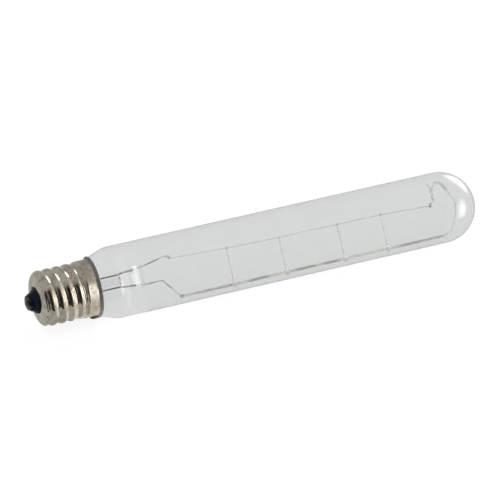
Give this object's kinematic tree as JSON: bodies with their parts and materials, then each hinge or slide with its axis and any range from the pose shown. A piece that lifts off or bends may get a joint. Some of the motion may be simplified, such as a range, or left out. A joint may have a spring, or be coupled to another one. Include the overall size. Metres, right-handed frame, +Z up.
{
  "type": "tubular filament lamp",
  "caption": "Clear glass tubular filament lamp with a nickel-plated screw cap, a long straight coiled filament on wire supports and a side rod.",
  "frame": {"origin": "centre of the flat end face of the centre contact, on the lamp's axis", "axes": "+X along the lamp from the contact to the rounded glass end, +Z up with the lamp lying on its side, +Y to the left seen from the cap"},
  "size_m": [0.137, 0.0206, 0.0206],
  "materials": {
    "clear_glass": "clear blown glass",
    "stem_glass": "clear pressed glass",
    "bead_glass": "milky glass",
    "nickel_plate": "bright nickel plate, slightly dulled",
    "black_glass": "glossy black moulded glass",
    "contact_metal": "dull brass",
    "solder": "dull tin solder",
    "cement": "baked basing cement",
    "copper_lead": "bare copper wire",
    "seal_wire": "copper-clad seal wire, oxidised red",
    "nickel_wire": "grey drawn nickel wire",
    "tungsten": "fine coiled tungsten wire",
    "support_wire": "thin bright molybdenum wire"
  },
  "bodies": {
    "root": {"glass_bulb": "clear_glass", "screw_shell": "nickel_plate", "insulator": "black_glass", "centre_contact": "contact_metal", "centre_solder": "solder", "side_solder": "solder", "basing_cement": "cement", "stem": "stem_glass", "exhaust_tube": "stem_glass", "contact_lead": "copper_lead", "shell_lead": "copper_lead", "upper_seal_wire": "seal_wire", "lower_seal_wire": "seal_wire", "short_lead": "nickel_wire", "long_lead": "nickel_wire", "side_rod": "nickel_wire", "filament": "tungsten", "support_hook_1": "support_wire", "support_hook_2": "support_wire", "support_hook_3": "support_wire", "support_hook_4": "support_wire", "support_bead_1": "bead_glass", "support_bead_2": "bead_glass", "support_bead_3": "bead_glass", "support_bead_4": "bead_glass"}
  },
  "joints": []
}
